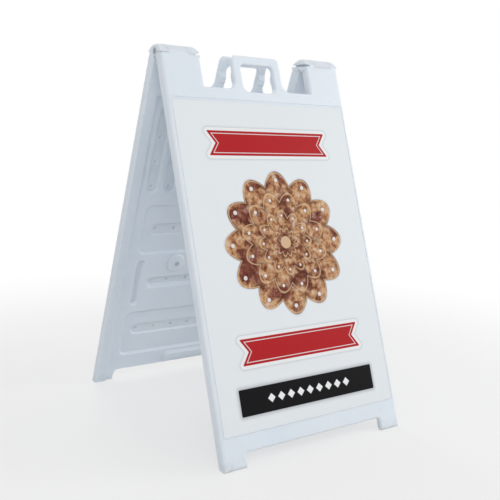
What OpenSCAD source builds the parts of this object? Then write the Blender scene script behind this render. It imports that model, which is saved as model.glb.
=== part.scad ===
// Folding A-frame sidewalk sign: two identical blow-moulded double-wall panels,
// hinged at the tops of their horns, with a carry handle in the top edge of each.
// One panel is the other turned half round about the upright middle axis.
// Frame: X across the width, the front panel faces -Y, Z up from the pavement,
// origin under the hinge, midway between the four feet.

/* [Stance] */
// Lean of each panel from upright, in degrees
lean_a = 19.75; // [15:0.25:24]
// Length of a panel from the hinge axis down to its feet
leg_l = 1140; // [1120:5:1240]

/* [Panel] */
// Width across a panel
panel_w = 635; // [626:1:680]
// Thickness of a panel at its rim
panel_t = 33; // [31:0.5:38]
// Rounding of the long edges of the outer face
face_edge_r = 9; // [4:0.5:11]
// Rounding of the long edges of the inner rim
rim_edge_r = 4; // [2:0.5:6]
// Setback of the inner rim from the plane through the hinge axis
fold_gap = 0.5; // [0.3:0.1:1.5]
// Depth of the mould's parting line behind the outer face
parting_d = 10; // [8:0.5:14]
// Rounding of the outer face's edge along every cut-out
cut_r = 6; // [3:0.5:8]
// Lean of the top cut-outs' walls from the parting line to the inner rim
top_draft = 6; // [3:0.5:7]
// Lean of the foot cut-out's walls from the parting line to the inner rim
foot_draft = 10; // [4:0.5:12]
// Rounding of the front lower edge of a foot
toe_r = 9; // [4:0.5:10]

/* [Horns and hinge] */
// Half of the gap between the two horns
horn_in = 194; // [184:1:204]
// Depth of the gap between a horn and the handle, below the hinge axis
valley_d = 104; // [96:1:116]
// Radius of the rounded top over the hinge axis
cap_r = 20.5; // [19:0.5:24]
// Rounding of a horn's inner top corner
horn_r = 13; // [6:1:20]
// Rounding between the cap and the outer face
shoulder_r = 10; // [6:0.5:12]
// Depth of that rounding's centre below the hinge axis
shoulder_d = 12; // [10:0.5:16]
// Radius of a knuckle around the pin
knuckle_r = 12.5; // [12:0.25:14]
// Half distance between the outer knuckle joints
knuckle_out = 292; // [286:1:296]
// Half distance between the inner knuckle joints
knuckle_in = 228; // [224:1:240]
// Gap between neighbouring knuckles along the axis
knuckle_gap = 0.8; // [0.4:0.1:1.5]
// Level below the hinge axis at which a knuckle's lip bears on the other panel
bear_d = 2.5; // [1:0.5:5]
// Gap left under that lip when the sign stands open
stop_gap = 0.3; // [0.2:0.05:0.6]
// Length of the slot through a horn's inner end, level with the pin
slot_l = 14; // [8:1:18]
// Height of that slot
slot_h = 6; // [4:0.5:8]
// Wall between the slot and the blind end of the pin's bore
bore_wall = 4; // [3:0.5:8]
// Corner rounding between a horn and the gap beside it
valley_r = 6; // [4:1:12]

/* [Hinge pins] */
// Radius of a hinge pin
pin_r = 7.5; // [6:0.25:8]
// Running clearance around a pin
pin_clear = 0.08; // [0.03:0.01:0.1]
// Radius of a pin's head
head_r = 9; // [8.5:0.25:10]
// Thickness of a pin's head
head_t = 4; // [3:0.5:6]
// Setback of a pin's head inside the horn's outer end
head_setback = 0.5; // [0.3:0.1:1]
// Chamfer at a pin's inner end
pin_tip = 1.5; // [1:0.25:3]

/* [Handle] */
// Half width of the handle
handle_hw = 85; // [78:1:95]
// Width of a handle post
post_w = 27; // [22:0.5:32]
// Top of the handle below the hinge axis
handle_top_d = 1.5; // [1:0.5:10]
// Height of the handle's beam
beam_h = 26; // [22:0.5:32]
// Depth of the handle's opening below the hinge axis
grip_floor_d = 111; // [104:1:120]
// Outer corner rounding of the handle
handle_r = 15; // [8:1:24]
// Upper and lower corner rounding of the opening
grip_r = 12; // [7:1:16]
grip_low_r = 22; // [8:1:26]
// Flare where the handle meets the panel
flare_r = 28; // [12:1:34]
// Setback of the handle's inner side above its pads
hand_setback = 17; // [12:0.5:18]
// Setback of the pads halfway down the posts
pad_setback = 6; // [3:0.5:8]
// Upper and lower end of the pads
pad_top_d = 58; // [56:1:62]
pad_end_d = 72; // [68:1:76]

/* [Feet] */
// Half of the gap between the two feet
foot_in = 246; // [225:1:255]
// Height of the gap between the feet, along the panel
foot_rise = 30; // [26:1:40]
// Corner rounding between a foot and that edge
foot_r = 12; // [6:1:16]

/* [Inner face] */
// Width of the proud rim along each side
rim_w = 32.5; // [26:0.5:40]
// Depth of the inner face behind the rim
inset_d = 10; // [6:0.5:11]
// Width of the sloping step beside the rim
inset_slope = 12; // [6:0.5:16]
// Top of the inset below the hinge axis
inset_top_d = 126; // [122:1:134]
// Height of the two wide fields
field_h = 178; // [165:1:182]
// Half width of the two wide fields
field_hw = 245; // [235:1:250]
// Depth of the two wide fields
field_d = 8; // [4:0.5:9]
// Corner rounding of the fields
field_r = 25; // [16:1:30]
// Top of the upper field below the hinge axis
upper_field_d = 476; // [470:1:480]
// Top of the lower field below the hinge axis
lower_field_d = 871; // [868:1:874]
// Height of the cross slots
cross_h = 42; // [34:1:46]
// Depth of the cross slots that lie in the fields
cross_d = 7; // [4:0.5:8]
// Half length of the cross slots that lie in the fields
cross_hl = 212; // [200:1:218]
// Top of the upper cross slot below the upper field's top
upper_cross_d = 70; // [60:1:80]
// Top of the lower cross slot below the lower field's top
lower_cross_d = 58; // [50:1:80]
// Top of the middle cross slot below the hinge axis
middle_cross_d = 741; // [738:1:750]
// Half length of the middle cross slot
middle_cross_hl = 190; // [170:1:194]
// Depth of the middle cross slot
middle_cross_z = 14; // [8:0.5:15]
// Number of upright channels above the upper field
channels = 9; // [5:2:9]
// Spacing of the upright channels
channel_pitch = 59; // [54:1:60]
// Width of an upright channel
channel_w = 43; // [34:1:48]
// Depth of an upright channel
channel_d = 9; // [5:0.5:12]
// Top and bottom of the channels below the hinge axis
channel_top_d = 158; // [150:1:180]
channel_end_d = 436; // [400:1:440]
// Width of the two upright capsules
capsule_w = 30; // [24:1:32]
// Distance of a capsule from the middle
capsule_x = 223; // [218:1:230]
// Top of a capsule below the hinge axis
capsule_top_d = 674; // [668:1:680]
// Length of a capsule
capsule_l = 172; // [150:1:176]
// Depth of a capsule
capsule_d = 11; // [6:0.5:13]
// Radius of the dimples that weld the two walls together
weld_r = 6; // [4:0.25:7]
// Depth of those dimples
weld_d = 5; // [3:0.5:6]
// Spacing of the dimples in the cross slots
weld_pitch = 68; // [62:1:72]
// Spacing of the dimples in the middle cross slot
middle_pitch = 74; // [60:1:84]
// Spacing of the dimples in the channels
weld_drop = 80; // [60:1:80]
// Ends of the raised bar above the feet, right and left of the middle
bar_right = 70; // [50:1:90]
bar_left = 112; // [60:1:140]
// Height of the raised bar, along the panel
bar_h = 40; // [30:1:41]

/* [Ballast plug] */
// Radius of the mound that carries the plug
mound_r = 34; // [30:1:38]
// Distance of the mound from the middle
mound_x = 95; // [80:1:120]
// Gap between the upper field and the mound
mound_gap = 4; // [2:1:8]
// Radius of the plug's flange
plug_flange_r = 8; // [6:0.5:10]
// Thickness of the plug's flange
plug_flange_t = 2.5; // [2:0.5:4]
// Radius of the plug's barrel
plug_r = 5; // [3.5:0.25:5.5]
// Length of the plug's barrel
plug_l = 14; // [10:0.5:18]
// Clearance round the plug
plug_clear = 0.1; // [0.05:0.05:0.3]
// Width and depth of the groove across the flange
groove_w = 1.6; // [1:0.2:3]
groove_d = 1.2; // [0.6:0.2:1.6]

/* [Sign sheet] */
// Width of a sign sheet
sheet_w = 610; // [580:1:612]
// Height of a sign sheet
sheet_h = 914; // [880:1:930]
// Thickness of a sign sheet
sheet_t = 1; // [0.6:0.1:1.5]
// Top of the sheet below the hinge axis
sheet_top_d = 148; // [145:1:152]
// Margin of the sheet's recess at the sides and the foot of the sheet
sheet_margin = 2; // [1:0.5:4]
// Margin of the recess above the sheet
sheet_head = 9; // [4:0.5:10]
// Depth of the sheet's recess
recess_d = 1.2; // [1:0.1:2]
// Radius of the corner pips beside the sheet
pip_r = 4; // [3:0.25:5]
// Height of the corner pips
pip_h = 1; // [0.8:0.1:2]
// Distance of the upper and of the lower pips from the panel's side
pip_upper_edge = 54.5; // [45:0.5:70]
pip_lower_edge = 66.5; // [50:0.5:75]
// Distance of the upper pips above the sheet
pip_rise = 23; // [20:1:28]
// Distance of the lower pips above the panel's lower edge
pip_lift = 23; // [16:1:30]

/* [Hidden] */
$fn = 64;

half_w = panel_w / 2;
hinge_z = leg_l * cos(lean_a);
// Lower edge of the panel between the feet, below the hinge axis
rail_d = leg_l - foot_rise;
// Overrun of every cut and of every piece that runs into its neighbour
over = panel_t;
// Level below the hinge axis where the plain panel begins
hub_d = cap_r;
// Inner end of the pins
pin_in = horn_in + slot_l + bore_wall;
// Depth of the mound's centre below the hinge axis
mound_d = upper_field_d + field_h + mound_gap + mound_r;
// Depth of the parting line, counted from the plane through the hinge
parting_y = panel_t - parting_d;
// Length of the slope below the handle's pads, as a share of the inset's depth
pad_slope_share = 1.3;
// Share of a slot's depth that its sloping walls take
wall_share = 0.7;
// Share of the mound's height that its sloping foot takes
mound_foot_share = 0.6;
// Share of the channels' length at which their first dimple lies
weld_start_share = 0.35;
// Number of dimples in a channel and in the middle cross slot
channel_welds = 3;
middle_welds = 4;
// Lap by which two rounded outlines that touch run into each other
touch_lap = 0.01;
pin_bore_r = pin_r + pin_clear;
head_bore_r = head_r + pin_clear;
body_colour = [0.86, 0.89, 0.92];
sheet_colour = [0.88, 0.91, 0.93];
pin_colour = [0.80, 0.84, 0.88];
plug_colour = [0.30, 0.31, 0.33];

// Moves from the hinge's own frame to the standing sign
module standing() { translate([0, 0, hinge_z]) children(); }

// Turns the upright panel into its lean, about the hinge axis
module leaning() { rotate([-lean_a, 0, 0]) children(); }

// Turns the front half of the sign into the rear half
module other_half() { rotate([0, 0, 180]) children(); }

// Runs a profile drawn in the Y and Z directions from x0 to x1
module along_x(x0, x1) {
    translate([x0, 0, 0]) rotate([90, 0, 90]) linear_extrude(x1 - x0) children();
}

// Runs an outline drawn in the X and Z directions from depth d0 to depth d1
module through(d0, d1) {
    translate([0, -d0, 0]) rotate([90, 0, 0]) linear_extrude(d1 - d0) children();
}

// Stands a round piece on the plane at depth d, pointing to the inner side
module facing_in(x, d, z) { translate([x, -d, z]) rotate([-90, 0, 0]) children(); }

// Rectangle from its lower left to its upper right corner
module rect(x0, z0, x1, z1) { translate([x0, z0]) square([x1 - x0, z1 - z0]); }

// Rectangle with one rounding for its lower and one for its upper corners
module round_rect(x0, z0, x1, z1, r_low, r_high) {
    rect(x0 + r_low, z0, x1 - r_low, z1 - r_high);
    rect(x0 + r_high, z0 + r_low, x1 - r_high, z1);
    rect(x0, z0 + r_low, x1, z1 - r_high);
    for (x = [x0 + r_low, x1 - r_low]) translate([x, z0 + r_low]) circle(r_low);
    for (x = [x0 + r_high, x1 - r_high]) translate([x, z1 - r_high]) circle(r_high);
}

// Panel side view, in the panel's own frame: a slab with its feet cut level
// with the ground and rounded along their front lower edge
module plate_side(top_d) {
    toe_y = panel_t - toe_r;
    difference() {
        rect(-panel_t, -(leg_l + over), -fold_gap, -top_d);
        rotate(lean_a) rect(-2 * leg_l, -(hinge_z + 2 * over), 2 * leg_l, -hinge_z);
        translate([-panel_t, -(leg_l + toe_y * tan(lean_a))]) difference() {
            rect(-toe_r, -over, toe_r, toe_r);
            translate([toe_r, toe_r]) circle(toe_r);
        }
    }
}

// Edge of a cut-out in section: x is how far it reaches into the panel, y is
// the depth. Rounded at the outer face and drafted towards the inner side.
module cut_edge(draft) {
    difference() {
        union() {
            rect(-cut_r, -over, 0, panel_t + over);
            polygon([[0, -over], [draft, -over], [draft, 0], [0, parting_y]]);
            rect(0, panel_t - cut_r, cut_r, panel_t + over);
        }
        translate([cut_r, panel_t - cut_r]) circle(cut_r);
    }
}

// Wall of a cut-out: level, facing up or down, or upright, facing left or right
module level_wall(x0, x1, z, up, draft) {
    along_x(x0, x1) translate([0, z]) rotate(90) mirror([up > 0 ? 1 : 0, 0]) cut_edge(draft);
}
module upright_wall(z0, z1, x, side, draft) {
    translate([x, 0, z0]) linear_extrude(z1 - z0) mirror([side < 0 ? 1 : 0, 0]) mirror([0, 1]) cut_edge(draft);
}

// Hollow corner of a cut-out, about the centre of its rounding: a quarter turn
// on the side where the panel lies
module hollow_corner(x, z, r, side, up, draft) {
    quarter = side > 0 ? (up > 0 ? 0 : 3) : (up > 0 ? 1 : 2);
    translate([x, 0, z]) rotate([90, -90 * quarter, 0]) rotate_extrude(angle = 90) {
        translate([r, 0]) cut_edge(draft);
        rect(0, -over, r, panel_t + over);
    }
}

// Outer corner of what stands between two cut-outs, a quarter turn too
module outer_corner(x, z, r, side, draft) {
    translate([x, 0, z]) rotate([90, side > 0 ? 0 : -90, 0]) rotate_extrude(angle = 90) {
        translate([r, 0]) mirror([1, 0]) cut_edge(draft);
        rect(r, -over, 2 * r, panel_t + over);
    }
}

// Cut-out with four rounded corners
module window(x0, z0, x1, z1, r_low, r_high, draft) {
    through(-over, panel_t + over) round_rect(x0, z0, x1, z1, r_low, r_high);
    level_wall(x0 + r_low, x1 - r_low, z0, 1, draft);
    level_wall(x0 + r_high, x1 - r_high, z1, -1, draft);
    for (side = [-1, 1]) {
        x_wall = side < 0 ? x0 : x1;
        hollow_corner(x_wall - side * r_low, z0 + r_low, r_low, side, -1, draft);
        hollow_corner(x_wall - side * r_high, z1 - r_high, r_high, side, 1, draft);
        upright_wall(z0 + r_low, z1 - r_high, x_wall, side, draft);
    }
}

// Horn's shoulder and slab below the cap, in the panel's own frame
sh_y = -(panel_t - shoulder_r);
tangent_a = atan2(-shoulder_d, sh_y) - acos((cap_r - shoulder_r) / norm([sh_y, shoulder_d]));
tangent_dir = [cos(tangent_a), sin(tangent_a)];
module horn_side() {
    shoulder = [sh_y, -shoulder_d];
    translate(shoulder) circle(shoulder_r);
    polygon([
        [0, 0], (cap_r - touch_lap) * tangent_dir,
        shoulder + (shoulder_r - touch_lap) * tangent_dir, shoulder
    ]);
    rect(sh_y, -shoulder_d, -fold_gap, 0);
    rect(-panel_t, -hub_d, -fold_gap, -shoulder_d);
}

// Half plane above a level of the hinge frame, wide enough for the whole hub
module above(z) { rect(-2 * over, z, 2 * over, z + 2 * over); }

// Side view of a knuckle: hub, cap and the lip over the other panel's horn, which
// is drawn where it lies in the open stance
module knuckle_side() {
    circle(knuckle_r);
    horn_side();
    intersection() {
        union() {
            circle(cap_r);
            rotate(2 * lean_a) mirror([1, 0]) horn_side();
        }
        rotate(lean_a) above(-bear_d);
    }
}

// Side view of a horn where the other panel's knuckle lies in it
module relief_side() {
    difference() {
        horn_side();
        circle(knuckle_r + stop_gap);
        rotate(lean_a) above(-(bear_d + stop_gap));
    }
}

// Slot through a horn's inner end, open to the middle of the sign, in the hinge frame
module knuckle_slot(side) {
    x_end = side * (horn_in + slot_l - slot_h / 2);
    x_open = side * (horn_in - over);
    through(-2 * over, 2 * over) {
        translate([x_end, 0]) circle(slot_h / 2);
        rect(min(x_end, x_open), -slot_h / 2, max(x_end, x_open), slot_h / 2);
    }
}

// Both horn tops, in the panel's own frame
module horn_tops() {
    g = knuckle_gap / 2;
    along_x(-half_w, -horn_in) relief_side();
    along_x(-knuckle_out + g, -knuckle_in - g) knuckle_side();
    along_x(horn_in, half_w) relief_side();
    along_x(horn_in, knuckle_in - g) knuckle_side();
    along_x(knuckle_out + g, half_w) knuckle_side();
}

// Rounding of a horn's top corners, cut through both sides of the hinge
module horn_corner(x, r, side) {
    through(-2 * over, 2 * over) translate([x, cap_r + touch_lap]) difference() {
        rect(min(-side * over, side * r), -r, max(-side * over, side * r), over);
        translate([side * r, -r]) circle(r);
    }
}

// Gap between a horn and the handle, open at the top
module valley() {
    through(-over, panel_t + over) {
        rect(handle_hw + flare_r, -valley_d, horn_in - valley_r, over);
        rect(handle_hw + flare_r, -(valley_d - valley_r), horn_in, over);
        rect(handle_hw, -(valley_d - flare_r), horn_in, over);
    }
    level_wall(handle_hw + flare_r, horn_in - valley_r, -valley_d, 1, top_draft);
    hollow_corner(horn_in - valley_r, -(valley_d - valley_r), valley_r, 1, -1, top_draft);
    hollow_corner(handle_hw + flare_r, -(valley_d - flare_r), flare_r, -1, -1, top_draft);
    upright_wall(-(valley_d - valley_r), -hub_d, horn_in, 1, top_draft);
    upright_wall(-(valley_d - flare_r), -(handle_top_d + handle_r), handle_hw, -1, top_draft);
}

// Rounded outside of the handle, its grip opening and its setback inner side
module handle_outline() {
    for (side = [-1, 1])
        outer_corner(side * (handle_hw - handle_r), -(handle_top_d + handle_r), handle_r, side, top_draft);
    level_wall(-(handle_hw - handle_r), handle_hw - handle_r, -handle_top_d, 1, top_draft);
    hw = handle_hw - post_w;
    window(-hw, -grip_floor_d, hw, -(handle_top_d + beam_h), grip_low_r, grip_r, top_draft);
}
module handle_inner_side() {
    slope = inset_d * pad_slope_share;
    reach = horn_in - valley_r;
    along_x(-reach, reach) polygon([
        [over, over], [-hand_setback, over], [-hand_setback, -(pad_top_d - slope)],
        [-pad_setback, -pad_top_d], [-pad_setback, -pad_end_d], [-inset_d, -(pad_end_d + slope / 2)],
        [-inset_d, -(inset_top_d + inset_slope)], [over, -(inset_top_d + inset_slope)]
    ]);
}

// Rounds the four long outer edges of a panel
module long_edges() {
    for (side = [-1, 1]) {
        for (e = [[-panel_t, 1, face_edge_r, shoulder_d], [-fold_gap, -1, rim_edge_r, hub_d]]) {
            r = e[2];
            translate([side * half_w, e[0], -(leg_l + over)]) linear_extrude(leg_l - e[3] + over)
                difference() {
                    rect(min(over * side, -side * r), min(-e[1] * over, e[1] * r),
                         max(over * side, -side * r), max(-e[1] * over, e[1] * r));
                    translate([-side * r, e[1] * r]) circle(r);
                }
        }
    }
}

// Long pocket with round ends, sloping walls, sunk from depth d0 by h
module pocket_x(x0, x1, z_top, w, d0, h) {
    r = w / 2;
    floor_r = r - h * wall_share;
    z = -(z_top + r);
    along_x(x0 + r, x1 - r) polygon([
        [-d0, z - r], [-(d0 + h), z - floor_r], [-(d0 + h), z + floor_r], [-d0, z + r]
    ]);
    for (x = [x0 + r, x1 - r]) facing_in(x, d0 + h, z) cylinder(h, floor_r, r);
}
module pocket_z(x, z_top, z_end, w, d0, h) {
    r = w / 2;
    floor_r = r - h * wall_share;
    translate([x, 0, -(z_end - r)]) linear_extrude(z_end - z_top - w) polygon([
        [-r, -d0], [r, -d0], [floor_r, -(d0 + h)], [-floor_r, -(d0 + h)]
    ]);
    for (z = [z_top + r, z_end - r]) facing_in(x, d0 + h, -z) cylinder(h, floor_r, r);
}

// Wide field with round corners and sloping walls
module field(z_top) {
    r = field_r;
    floor_r = r - field_d;
    d0 = inset_d;
    d1 = inset_d + field_d;
    z_end = z_top + field_h;
    along_x(-(field_hw - r), field_hw - r) polygon([
        [-d0, -z_end], [-d1, -z_end + field_d], [-d1, -z_top - field_d], [-d0, -z_top]
    ]);
    translate([0, 0, -(z_end - r)]) linear_extrude(field_h - 2 * r) polygon([
        [-field_hw, -d0], [field_hw, -d0], [field_hw - field_d, -d1], [-field_hw + field_d, -d1]
    ]);
    for (x = [-1, 1], z = [z_top + r, z_end - r])
        facing_in(x * (field_hw - r), d1, -z) cylinder(field_d, floor_r, r);
}

// Dimple where the inner wall is pressed to the outer one
module weld(x, z, d) { facing_in(x, d + weld_d, -z) cylinder(weld_d, weld_r / 2, weld_r); }

// Mound round the ballast plug and the bar above the feet, left standing in the inset
module mound() {
    rise = inset_d - fold_gap;
    foot = rise * mound_foot_share;
    top_r = mound_r - foot;
    dome_r = (pow(top_r, 2) + pow(rise - foot, 2)) / (2 * (rise - foot));
    facing_in(mound_x, inset_d, -mound_d) {
        cylinder(foot, mound_r, top_r);
        translate([0, 0, rise - dome_r]) intersection() {
            sphere(dome_r);
            translate([0, 0, dome_r - rise + foot]) cylinder(rise, r = top_r);
        }
    }
}
module foot_bar() {
    z_low = rail_d - foot_draft - cut_r / 2;
    r = bar_h / 2;
    rise = inset_d - fold_gap;
    for (x = [r - bar_left, bar_right - r]) facing_in(x, inset_d, -(z_low - r)) cylinder(rise, r, r - rise);
    along_x(r - bar_left, bar_right - r) polygon([
        [-inset_d, -z_low], [-inset_d, -(z_low - bar_h)],
        [-fold_gap, -(z_low - bar_h + rise)], [-fold_gap, -(z_low - rise)]
    ]);
}

// Everything that is sunk into the inner face
module inner_face() {
    rim_x = half_w - rim_w;
    difference() {
        translate([0, 0, -(leg_l + over)]) linear_extrude(leg_l + over - inset_top_d) polygon([
            [-rim_x, 0], [rim_x, 0], [rim_x - inset_slope, -inset_d], [-rim_x + inset_slope, -inset_d]
        ]);
        mound();
        foot_bar();
    }
    first = -(channels - 1) / 2 * channel_pitch;
    for (i = [0 : channels - 1]) {
        x = first + i * channel_pitch;
        pocket_z(x, channel_top_d, channel_end_d, channel_w, inset_d, channel_d);
        for (k = [0 : channel_welds - 1])
            weld(x, channel_top_d + (channel_end_d - channel_top_d) * weld_start_share + k * weld_drop,
                 inset_d + channel_d);
    }
    field(upper_field_d);
    field(lower_field_d);
    for (z = [upper_field_d + upper_cross_d, lower_field_d + lower_cross_d]) {
        pocket_x(-cross_hl, cross_hl, z, cross_h, inset_d + field_d, cross_d);
        for (x = [cross_h / 2 - cross_hl : weld_pitch : cross_hl - cross_h / 2])
            weld(-x, z + cross_h / 2, inset_d + field_d + cross_d);
    }
    pocket_x(-middle_cross_hl, middle_cross_hl, middle_cross_d, cross_h, inset_d, middle_cross_z);
    for (k = [0 : middle_welds - 1])
        weld((k - (middle_welds - 1) / 2) * middle_pitch, middle_cross_d + cross_h / 2, inset_d + middle_cross_z);
    for (side = [-1, 1])
        pocket_z(side * capsule_x, capsule_top_d, capsule_top_d + capsule_l, capsule_w, inset_d, capsule_d);
}

// Recess that takes the sign sheet, and the pips beside it
module sheet_recess() {
    hw = sheet_w / 2 + sheet_margin;
    through(panel_t - recess_d, panel_t + over)
        rect(-hw, -(sheet_top_d + sheet_h + sheet_margin), hw, -(sheet_top_d - sheet_head));
}
module pips() {
    for (side = [-1, 1]) {
        facing_out(side * (half_w - pip_upper_edge), sheet_top_d - pip_rise) cylinder(pip_h, pip_r, pip_r / 2);
        facing_out(side * (half_w - pip_lower_edge), rail_d - pip_lift) cylinder(pip_h, pip_r, pip_r / 2);
    }
}
module facing_out(x, z) { translate([x, -panel_t, -z]) rotate([90, 0, 0]) children(); }

// Seat of the ballast plug in its mound
module plug_seat() {
    facing_in(mound_x, fold_gap + plug_flange_t, -mound_d)
        cylinder(plug_flange_t + over, r = plug_flange_r + plug_clear);
    facing_in(mound_x, fold_gap + plug_flange_t + plug_l + plug_clear, -mound_d)
        cylinder(plug_l + over, r = plug_r + plug_clear);
}

// Blind pin bores with the counterbores for the heads, in the hinge frame
module pin_bores() {
    for (side = [-1, 1]) {
        translate([side * (pin_in - pin_clear), 0, 0])
            rotate([0, side * 90, 0]) cylinder(half_w - pin_in + over, r = pin_bore_r);
        translate([side * (half_w - head_t - head_setback), 0, 0])
            rotate([0, side * 90, 0]) cylinder(over, r = head_bore_r);
    }
}

// One moulded panel, leaning about the hinge axis
module panel() {
    difference() {
        union() {
            leaning() {
                difference() {
                    union() {
                        along_x(-half_w, half_w) plate_side(hub_d);
                        along_x(-handle_hw, handle_hw) plate_side(handle_top_d);
                    }
                    for (side = [0, 1]) mirror([side, 0, 0]) valley();
                    handle_outline();
                    handle_inner_side();
                    window(-foot_in, -(leg_l + 2 * over), foot_in, -rail_d, foot_r, foot_r, foot_draft);
                }
                horn_tops();
                pips();
            }
        }
        leaning() {
            long_edges();
            inner_face();
            sheet_recess();
            plug_seat();
        }
        for (side = [-1, 1]) {
            knuckle_slot(side);
            horn_corner(side * horn_in, horn_r, side);
            horn_corner(side * half_w, face_edge_r, -side);
        }
        pin_bores();
    }
}

// Thin printed sheet that lies in the recess of a panel's face
module face_sheet() {
    leaning() through(panel_t - recess_d, panel_t - recess_d + sheet_t)
        rect(-sheet_w / 2, -(sheet_top_d + sheet_h), sheet_w / 2, -sheet_top_d);
}

// Plastic hinge pin, pressed in from the horn's outer end up to its domed head
module hinge_pin() {
    x_head = half_w - head_setback - head_t;
    translate([pin_in, 0, 0]) rotate([0, 90, 0]) cylinder(pin_tip, pin_r - pin_tip, pin_r);
    translate([pin_in + pin_tip, 0, 0]) rotate([0, 90, 0]) cylinder(x_head - pin_in - pin_tip, r = pin_r);
    translate([x_head, 0, 0]) rotate([0, 90, 0]) cylinder(head_t, head_r, head_r - head_setback);
}

// Push-in plug of the ballast hole, with a finger groove across its flange
module ballast_plug() {
    leaning() difference() {
        union() {
            facing_in(mound_x, fold_gap + plug_flange_t, -mound_d) cylinder(plug_flange_t - plug_clear, r = plug_flange_r);
            facing_in(mound_x, fold_gap + plug_flange_t + plug_l, -mound_d) cylinder(plug_l + plug_clear, r = plug_r);
        }
        through(0, fold_gap + plug_clear + groove_d)
            rect(mound_x - mound_r, -mound_d - groove_w / 2, mound_x + mound_r, -mound_d + groove_w / 2);
    }
}

module front_panel() { color(body_colour) standing() panel(); }
module rear_panel() { color(body_colour) other_half() standing() panel(); }
module front_face_sheet() { color(sheet_colour) standing() face_sheet(); }
module rear_face_sheet() { color(sheet_colour) other_half() standing() face_sheet(); }
module right_hinge_pin() { color(pin_colour) standing() hinge_pin(); }
module left_hinge_pin() { color(pin_colour) other_half() standing() hinge_pin(); }
module front_ballast_plug() { color(plug_colour) standing() ballast_plug(); }
module rear_ballast_plug() { color(plug_colour) other_half() standing() ballast_plug(); }

front_panel();
rear_panel();
front_face_sheet();
rear_face_sheet();
left_hinge_pin();
right_hinge_pin();
front_ballast_plug();
rear_ballast_plug();
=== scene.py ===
import math

import bpy
from mathutils import Matrix, Vector

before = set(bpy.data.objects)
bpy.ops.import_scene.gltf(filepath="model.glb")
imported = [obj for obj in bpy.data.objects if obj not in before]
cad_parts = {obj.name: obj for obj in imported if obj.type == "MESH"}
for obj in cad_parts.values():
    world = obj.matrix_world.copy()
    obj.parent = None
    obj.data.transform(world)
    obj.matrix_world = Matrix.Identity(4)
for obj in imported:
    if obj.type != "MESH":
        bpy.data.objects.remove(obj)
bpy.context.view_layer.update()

# Camera: in front of the sign and to its left, lower than its top, looking down a
# little and turned a couple of degrees, as the photograph was taken.
heading = math.radians(-35.80)
down = math.radians(10.77)
roll = math.radians(2.32)
eye = Vector((-1.3335, -1.8980, 0.8787))
focal_px, frame_px, sensor_mm = 751.36, 500, 36.0
middle_y_px = 270
back = Vector((math.sin(heading) * math.cos(down), -math.cos(heading) * math.cos(down), math.sin(down)))
level_right = (-back).cross(Vector((0, 0, 1))).normalized()
level_up = level_right.cross(-back)
right = math.cos(roll) * level_right + math.sin(roll) * level_up
up = math.cos(roll) * level_up - math.sin(roll) * level_right
camera = bpy.data.objects.new("camera", bpy.data.cameras.new("camera"))
bpy.context.collection.objects.link(camera)
camera.matrix_world = Matrix.Translation(eye) @ Matrix((right, up, back)).transposed().to_4x4()
camera.data.sensor_width = sensor_mm
camera.data.lens = focal_px * sensor_mm / frame_px
camera.data.shift_y = (middle_y_px - frame_px / 2) / frame_px
camera.data.clip_start = 0.05
bpy.context.scene.camera = camera
bpy.context.scene.view_settings.view_transform = "Standard"

# Panels: two hollow double walls of cool white polyethylene. Each is blow-moulded
# in one piece with its horns, knuckles, handle, ribs and feet, in a blasted mould
# that leaves a fine orange peel. Some dust from the pavement clings to the feet.
plastic_shade, plastic_light = (0.742, 0.808, 0.880), (0.782, 0.840, 0.900)
dust_colour = (0.50, 0.51, 0.50, 1)
dust_height = 0.040
dust_cover = 0.55
plastic_gloss, plastic_dull = 0.34, 0.44
plastic_ior = 1.5
glow_share, glow_depth, glow_reach = 0.35, 0.015, (1.0, 0.96, 0.88)
moulded_edge = 0.0015
wall_wave, peel_height = 0.0006, 0.00008
cloud_scale, wave_scale, speck_scale, peel_scale = 5.0, 38.0, 45.0, 900.0
noise_low, noise_high = 0.3, 0.7


def new_material(name):
    """An empty node material, with its tree and its surface shader."""
    material = bpy.data.materials.new(name)
    material.use_nodes = True
    tree = material.node_tree
    tree.nodes.clear()
    output = tree.nodes.new("ShaderNodeOutputMaterial")
    shader = tree.nodes.new("ShaderNodeBsdfPrincipled")
    tree.links.new(shader.outputs["BSDF"], output.inputs["Surface"])
    return material, tree, shader


def plug_in(tree, socket, value):
    """Sets a socket, or links it where the value is the output of a node."""
    if isinstance(value, bpy.types.NodeSocket):
        tree.links.new(value, socket)
    else:
        socket.default_value = value


def place_on_object(tree):
    return tree.nodes.new("ShaderNodeTexCoord").outputs["Object"]


def maths(tree, operation, *values):
    """One maths node on numbers or on the outputs of other nodes."""
    node = tree.nodes.new("ShaderNodeMath")
    node.operation = operation
    for socket, value in zip(node.inputs, values):
        plug_in(tree, socket, value)
    return node.outputs[0]


def noise(tree, where, scale, detail=2.0, rough=0.5):
    node = tree.nodes.new("ShaderNodeTexNoise")
    node.inputs["Scale"].default_value = scale
    node.inputs["Detail"].default_value = detail
    node.inputs["Roughness"].default_value = rough
    tree.links.new(where, node.inputs["Vector"])
    return node.outputs["Fac"]


def ramp(tree, value, *stops):
    """Colour ramp with one (place, colour) pair for each stop."""
    node = tree.nodes.new("ShaderNodeValToRGB")
    places = node.color_ramp.elements
    while len(places) < len(stops):
        places.new(1.0)
    for place, (at, colour) in zip(places, stops):
        place.position = at
        place.color = (*colour, 1.0)
    tree.links.new(value, node.inputs["Fac"])
    return node.outputs["Color"]


def span(tree, value, low, high, to_low=0.0, to_high=1.0):
    """Maps the range from low to high smoothly to the range of the result."""
    node = tree.nodes.new("ShaderNodeMapRange")
    node.interpolation_type = "SMOOTHSTEP"
    for name, number in (("From Min", low), ("From Max", high), ("To Min", to_low), ("To Max", to_high)):
        node.inputs[name].default_value = number
    tree.links.new(value, node.inputs["Value"])
    return node.outputs["Result"]


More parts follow.
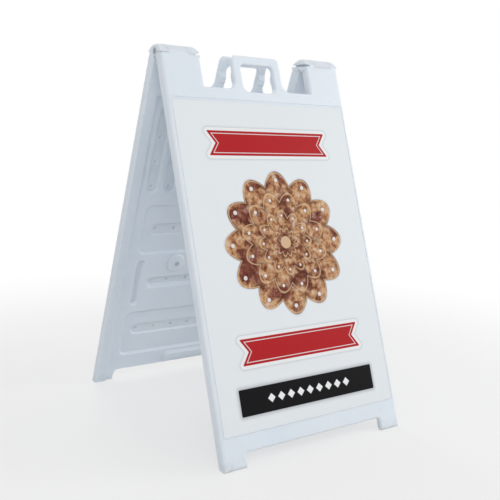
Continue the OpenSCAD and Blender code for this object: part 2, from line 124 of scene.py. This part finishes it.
def lay(tree, below, over, cover):
    """Lays a colour over another where the cover is one."""
    node = tree.nodes.new("ShaderNodeMix")
    node.data_type = "RGBA"
    plug_in(tree, node.inputs["Factor"], cover)
    plug_in(tree, node.inputs["A"], below)
    plug_in(tree, node.inputs["B"], over)
    return node.outputs["Result"]


def bump(tree, height, distance, strength, normal=None):
    node = tree.nodes.new("ShaderNodeBump")
    node.inputs["Distance"].default_value = distance
    node.inputs["Strength"].default_value = strength
    tree.links.new(height, node.inputs["Height"])
    if normal is not None:
        tree.links.new(normal, node.inputs["Normal"])
    return node.outputs["Normal"]


def soft_edge(tree, radius):
    node = tree.nodes.new("ShaderNodeBevel")
    node.samples = 6
    node.inputs["Radius"].default_value = radius
    return node.outputs["Normal"]


def dress(node_names, material):
    for name in node_names:
        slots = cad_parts[name].data.materials
        slots.clear()
        slots.append(material)


def moulded_polyethylene():
    material, tree, shader = new_material("moulded_polyethylene")
    where = place_on_object(tree)
    cloud = noise(tree, where, cloud_scale, detail=3.0)
    peel = noise(tree, where, peel_scale, detail=1.0)
    wave = noise(tree, where, wave_scale)
    colour = ramp(tree, cloud, (noise_low, plastic_shade), (noise_high, plastic_light))
    axes = tree.nodes.new("ShaderNodeSeparateXYZ")
    tree.links.new(where, axes.inputs[0])
    speck = span(tree, noise(tree, where, speck_scale, detail=5.0, rough=0.6), 0.35, 0.75)
    near_ground = span(tree, axes.outputs["Z"], 0.0, dust_height, dust_cover, 0.0)
    colour = lay(tree, colour, dust_colour, maths(tree, "MULTIPLY", speck, near_ground))
    plug_in(tree, shader.inputs["Base Color"], colour)
    finish = span(tree, wave, noise_low, noise_high, plastic_gloss, plastic_dull)
    plug_in(tree, shader.inputs["Roughness"], finish)
    shader.inputs["IOR"].default_value = plastic_ior
    shader.inputs["Subsurface Weight"].default_value = glow_share
    shader.inputs["Subsurface Radius"].default_value = glow_reach
    shader.inputs["Subsurface Scale"].default_value = glow_depth
    wavy = bump(tree, wave, wall_wave, 0.35, soft_edge(tree, moulded_edge))
    plug_in(tree, shader.inputs["Normal"], bump(tree, peel, peel_height, 0.5, wavy))
    return material


dress(("front_panel", "rear_panel"), moulded_polyethylene())

# Sign sheets: two thin sheets of satin white plastic, laid in the recesses of the
# panels' faces. Both are printed with one design: a rosette of mottled brown petals
# between two red ribbons, and a black bar with white diamonds at the foot.
lean = math.radians(19.75)
leg = 1.140
hinge_z = leg * math.cos(lean)
face_depth = 0.0328
paper, print_shade = (0.810, 0.850, 0.880, 1), (0.40, 0.42, 0.45, 1)
red, black, white = (0.455, 0.018, 0.022, 1), (0.005, 0.005, 0.006, 1), (0.860, 0.870, 0.880, 1)
brown_stops = ((0.32, (0.110, 0.030, 0.018)), (0.43, (0.330, 0.135, 0.062)), (0.53, (0.560, 0.315, 0.160)),
               (0.62, (0.660, 0.450, 0.285)), (0.72, (0.640, 0.575, 0.620)))
dark_stops = ((0.35, (0.070, 0.014, 0.011)), (0.55, (0.230, 0.068, 0.038)), (0.75, (0.500, 0.345, 0.340)))
tan, cream, umber = (0.690, 0.475, 0.285, 1), (0.800, 0.740, 0.720, 1), (0.075, 0.020, 0.012, 1)
ink_edge = 0.0006

petal_count = 12
rosette_s = 0.560
# For each tier of petals: how far its valleys reach, how long its lobes are, and
# by what share of a petal it is turned. Then the same for its rings of dots.
tiers = ((0.172, 0.038, 0.0), (0.122, 0.030, 0.5), (0.076, 0.022, 0.0), (0.034, 0.012, 0.5))
tier_shadow, tier_edge = 0.009, 0.0010
valley_fade = (-0.034, -0.004)
rim_inset, rim_half = 0.0045, 0.0022
dot_rings = ((0.184, 0.0062, 0.0), (0.128, 0.0050, 0.5), (0.079, 0.0038, 0.0))
dot_shadow, dot_edge = 0.004, 0.0012
heart_r, heart_shadow, heart_edge = 0.018, 0.005, 0.0015

ribbon_places = (0.268, 0.852)
ribbon_half_u, band_half_s, band_corner = 0.212, 0.036, 0.004
notch_u, notch_slope, notch_squeeze = 0.188, 0.7, 0.82
ribbon_rim, ribbon_shadow = 0.009, 0.009
stitch_inset, stitch_half = 0.008, 0.0011

bar_s, bar_half_u = 0.984, 0.240
bar_rim, bar_shadow = 0.004, 0.010
diamond_half, diamond_pitch_half, diamond_row_half = 0.0125, 0.017, 0.153

sheet_gloss, sheet_dull = 0.40, 0.46
sheet_ior, sheet_specular = 1.46, 0.10
sheet_wave, fibre_height = 0.0016, 0.00004
fleck_scale, patch_scale, fibre_scale, ripple_scale = 62.0, 15.0, 420.0, 9.0


class Print:
    """Outlines on the sheet, as distances in metres: u across, s down from the hinge."""

    def __init__(self, tree):
        self.tree = tree
        axes = tree.nodes.new("ShaderNodeSeparateXYZ")
        tree.links.new(place_on_object(tree), axes.inputs[0])
        x, y, z = axes.outputs
        side = self.do("SIGN", y)
        self.u = self.do("MULTIPLY", self.do("MULTIPLY", x, side), -1.0)
        drop = self.do("SUBTRACT", hinge_z + face_depth * math.sin(lean), z)
        self.s = self.do("DIVIDE", drop, math.cos(lean))

    def do(self, operation, *values):
        return maths(self.tree, operation, *values)

    def away_from(self, value, middle):
        return self.do("ABSOLUTE", self.do("SUBTRACT", value, middle))

    def length(self, a, b):
        return self.do("SQRT", self.do("ADD", self.do("POWER", a, 2.0), self.do("POWER", b, 2.0)))

    def bar(self, middle_s, half_u, half_s, corner):
        """Distance from a bar with rounded corners, below zero inside."""
        gap_u = self.do("SUBTRACT", self.do("ABSOLUTE", self.u), half_u - corner)
        gap_s = self.do("SUBTRACT", self.away_from(self.s, middle_s), half_s - corner)
        out_u, out_s = (self.do("MAXIMUM", gap, 0.0) for gap in (gap_u, gap_s))
        inside = self.do("MINIMUM", self.do("MAXIMUM", gap_u, gap_s), 0.0)
        return self.do("SUBTRACT", self.do("ADD", self.length(out_u, out_s), inside), corner)

    def polar(self, middle_s):
        """Radius and angle about a point on the sheet's upright middle line."""
        below = self.do("SUBTRACT", self.s, middle_s)
        return self.length(self.u, below), self.do("ARCTAN2", self.u, below)

    def lobes(self, turn, step):
        """One at the middle of each round petal, zero in the valleys, turned by part of a petal."""
        half = self.do("MULTIPLY_ADD", turn, petal_count / 2.0, step * math.pi)
        return self.do("ABSOLUTE", self.do("COSINE", half))

    def dots(self, radius, turn, step, orbit, size):
        """Distance from a ring of round dots, one in each petal."""
        half_pitch = math.pi / petal_count
        fold = self.do("WRAP", self.do("ADD", turn, 2 * half_pitch * step), half_pitch, -half_pitch)
        side = self.do("MULTIPLY", radius, self.do("SINE", fold))
        out = self.do("SUBTRACT", self.do("MULTIPLY", radius, self.do("COSINE", fold)), orbit)
        return self.do("SUBTRACT", self.length(side, out), size)

    def inside(self, distance, blur=ink_edge):
        return span(self.tree, distance, -blur, blur, 1.0, 0.0)

    def ink(self, below, over, distance, blur=ink_edge, strength=None):
        """Prints a colour inside an outline, with a soft edge and a strength."""
        cover = self.inside(distance, blur)
        if strength is not None:
            cover = self.do("MULTIPLY", cover, strength)
        return lay(self.tree, below, over, cover)


def rosette(art, mottled, colour):
    radius, turn = art.polar(rosette_s)
    for tier, (reach, lobe, step) in enumerate(tiers):
        swing = art.lobes(turn, step)
        edge = art.do("SUBTRACT", radius, art.do("MULTIPLY_ADD", swing, lobe, reach))
        if tier == 0:
            colour = art.ink(colour, print_shade, edge, tier_shadow, 0.75)
        else:
            colour = art.ink(colour, umber, edge, tier_shadow, 0.85)
        narrow = span(art.tree, swing, 0.10, 0.75, 1.0, 0.0)
        valley = art.do("MULTIPLY", narrow, span(art.tree, edge, *valley_fade))
        petal = lay(art.tree, mottled, umber, art.do("MULTIPLY", valley, 0.75))
        rim = art.do("ABSOLUTE", art.do("ADD", edge, rim_inset))
        petal = art.ink(petal, tan, art.do("SUBTRACT", rim, rim_half), rim_half, 0.8)
        colour = art.ink(colour, petal, edge, tier_edge)
    for orbit, size, step in dot_rings:
        dot = art.dots(radius, turn, step, orbit, size)
        colour = art.ink(colour, umber, dot, dot_shadow, 0.8)
        colour = art.ink(colour, cream, dot, dot_edge)
    heart = art.do("SUBTRACT", radius, heart_r)
    colour = art.ink(colour, umber, heart, heart_shadow, 0.8)
    return art.ink(colour, tan, heart, heart_edge)


def ribbon(art, middle_s, colour):
    """A red ribbon with notched ends, a white rim with a grey shadow, and a white line."""
    band = art.bar(middle_s, ribbon_half_u, band_half_s, band_corner)
    tail = art.do("MULTIPLY_ADD", art.away_from(art.s, middle_s), notch_slope, notch_u)
    notch = art.do("SUBTRACT", art.do("ABSOLUTE", art.u), tail)
    band = art.do("MAXIMUM", band, art.do("MULTIPLY", notch, notch_squeeze))
    rim = art.do("SUBTRACT", band, ribbon_rim)
    colour = art.ink(colour, print_shade, rim, ribbon_shadow, 0.85)
    colour = art.ink(colour, white, rim)
    colour = art.ink(colour, red, band)
    line = art.do("ABSOLUTE", art.do("ADD", band, stitch_inset))
    return art.ink(colour, white, art.do("SUBTRACT", line, stitch_half), strength=0.85)


def black_bar(art, colour):
    plate = art.bar(bar_s, bar_half_u, band_half_s, band_corner)
    colour = art.ink(colour, print_shade, art.do("SUBTRACT", plate, bar_rim), bar_shadow, 0.9)
    colour = art.ink(colour, black, plate)
    along = art.do("ABSOLUTE", art.do("WRAP", art.u, diamond_pitch_half, -diamond_pitch_half))
    across = art.away_from(art.s, bar_s)
    diamond = art.do("SUBTRACT", art.do("ADD", along, across), diamond_half)
    row_end = art.do("SUBTRACT", art.do("ABSOLUTE", art.u), diamond_row_half)
    return art.ink(colour, white, art.do("MAXIMUM", diamond, row_end))


def printed_sheet():
    material, tree, shader = new_material("printed_sheet")
    art = Print(tree)
    where = place_on_object(tree)
    fleck = noise(tree, where, fleck_scale, detail=6.0, rough=0.64)
    patch = noise(tree, where, patch_scale, detail=3.0)
    brown, dark = ramp(tree, fleck, *brown_stops), ramp(tree, fleck, *dark_stops)
    mottled = lay(tree, brown, dark, span(tree, patch, 0.49, 0.62))
    colour = rosette(art, mottled, paper)
    for middle_s in ribbon_places:
        colour = ribbon(art, middle_s, colour)
    plug_in(tree, shader.inputs["Base Color"], black_bar(art, colour))
    fibre = noise(tree, where, fibre_scale, detail=1.0)
    finish = span(tree, fibre, noise_low, noise_high, sheet_gloss, sheet_dull)
    plug_in(tree, shader.inputs["Roughness"], finish)
    shader.inputs["IOR"].default_value = sheet_ior
    shader.inputs["Specular IOR Level"].default_value = sheet_specular
    ripple = bump(tree, noise(tree, where, ripple_scale, detail=1.0), sheet_wave, 0.25)
    plug_in(tree, shader.inputs["Normal"], bump(tree, fibre, fibre_height, 0.4, ripple))
    return material


dress(("front_face_sheet", "rear_face_sheet"), printed_sheet())

# Hinge pins: round bars with a shallow head, moulded in a harder and glossier
# blue-grey plastic. Each goes in from the horn's outer end, through the other
# panel's knuckle, and ends in a blind hole.
pin_shade, pin_light = (0.26, 0.33, 0.41), (0.31, 0.38, 0.46)
pin_gloss, pin_dull = 0.26, 0.34
pin_edge, pin_grain = 0.0008, 0.00005
pin_scale = 320.0


def grained_plastic(name, scale, detail, colours, finish, edge, grain_height, strength):
    """A small moulded piece: clouded colour, uneven gloss, soft edges and a fine grain."""
    material, tree, shader = new_material(name)
    grain = noise(tree, place_on_object(tree), scale, detail=detail)
    plug_in(tree, shader.inputs["Base Color"], ramp(tree, grain, *colours))
    plug_in(tree, shader.inputs["Roughness"], span(tree, grain, noise_low, noise_high, *finish))
    bumped = bump(tree, grain, grain_height, strength, soft_edge(tree, edge))
    plug_in(tree, shader.inputs["Normal"], bumped)
    return material


pin_colours = ((noise_low, pin_shade), (noise_high, pin_light))
pin_plastic = grained_plastic("pin_plastic", pin_scale, 2.0, pin_colours,
                              (pin_gloss, pin_dull), pin_edge, pin_grain, 0.4)
dress(("left_hinge_pin", "right_hinge_pin"), pin_plastic)

# Ballast plugs: stoppers moulded in a matt grey plastic, pushed into the fill hole
# of each panel's inner face, with a finger groove across the flange.
plug_shade, plug_light = (0.52, 0.56, 0.61), (0.62, 0.66, 0.71)
plug_gloss, plug_dull = 0.55, 0.72
plug_edge, plug_grain = 0.0006, 0.0001
plug_scale = 240.0
plug_colours = ((0.35, plug_shade), (0.75, plug_light))
plug_plastic = grained_plastic("plug_plastic", plug_scale, 4.0, plug_colours,
                               (plug_gloss, plug_dull), plug_edge, plug_grain, 0.5)
dress(("front_ballast_plug", "rear_ballast_plug"), plug_plastic)

# Studio floor: a pale matt floor that keeps the sign's shadow. To the camera it
# fades into a white surround with the distance from the sign.
floor_half, floor_grey = 8.0, (0.78, 0.78, 0.78, 1)
fade_start, fade_end, least_white = 0.9, 2.4, 0.55
bpy.ops.object.select_all(action="DESELECT")
bpy.ops.mesh.primitive_plane_add(size=2 * floor_half, location=(0, 0, 0))
floor = bpy.context.object
floor.name = "studio_floor"
paint, tree, shader = new_material("studio_floor")
shader.inputs["Base Color"].default_value = floor_grey
shader.inputs["Roughness"].default_value = 0.9
glow = tree.nodes.new("ShaderNodeEmission")
distance = tree.nodes.new("ShaderNodeVectorMath")
distance.operation = "LENGTH"
tree.links.new(place_on_object(tree), distance.inputs[0])
fade = span(tree, distance.outputs["Value"], fade_start, fade_end, least_white)
camera_ray = tree.nodes.new("ShaderNodeLightPath").outputs["Is Camera Ray"]
whiten = tree.nodes.new("ShaderNodeMixShader")
tree.links.new(maths(tree, "MULTIPLY", camera_ray, fade), whiten.inputs["Fac"])
tree.links.new(shader.outputs["BSDF"], whiten.inputs[1])
tree.links.new(glow.outputs["Emission"], whiten.inputs[2])
surface = next(node for node in tree.nodes if node.type == "OUTPUT_MATERIAL").inputs["Surface"]
tree.links.new(whiten.outputs["Shader"], surface)
floor.data.materials.append(paint)

# Surround: an even white sky that lights the sign softly, and shows as plain
# white to the camera and in reflections.
sky_level, backdrop_level = 0.61, 1.0
world = bpy.data.worlds.new("studio")
bpy.context.scene.world = world
world.use_nodes = True
tree = world.node_tree
tree.nodes.clear()
surround = tree.nodes.new("ShaderNodeOutputWorld")
sky, backdrop = (tree.nodes.new("ShaderNodeBackground") for _ in range(2))
for node, level in ((sky, sky_level), (backdrop, backdrop_level)):
    node.inputs["Color"].default_value = (1, 1, 1, 1)
    node.inputs["Strength"].default_value = level
path = tree.nodes.new("ShaderNodeLightPath")
seen = maths(tree, "MAXIMUM", path.outputs["Is Camera Ray"], path.outputs["Is Glossy Ray"])
seen = maths(tree, "MAXIMUM", seen, path.outputs["Is Transmission Ray"])
choose = tree.nodes.new("ShaderNodeMixShader")
tree.links.new(seen, choose.inputs["Fac"])
tree.links.new(sky.outputs[0], choose.inputs[1])
tree.links.new(backdrop.outputs[0], choose.inputs[2])
tree.links.new(choose.outputs[0], surround.inputs["Surface"])

# Lamps: three large soft squares, in front on the left, lower on the right, and
# behind, all aimed at the middle of the sign.
lamp_size = 1.6
lamp_aim = Vector((0, 0, 0.60))
lamps = (("left_lamp", (-1.75, -2.70, 2.10), 23),
         ("right_lamp", (2.80, -1.60, 1.70), 30),
         ("back_lamp", (0.60, 3.20, 2.00), 26))
for name, place, power in lamps:
    lamp = bpy.data.objects.new(name, bpy.data.lights.new(name, "AREA"))
    bpy.context.collection.objects.link(lamp)
    lamp.data.shape = "SQUARE"
    lamp.data.size = lamp_size
    lamp.data.energy = power
    lamp.location = place
    lamp.rotation_euler = (lamp_aim - lamp.location).to_track_quat("-Z", "Y").to_euler()
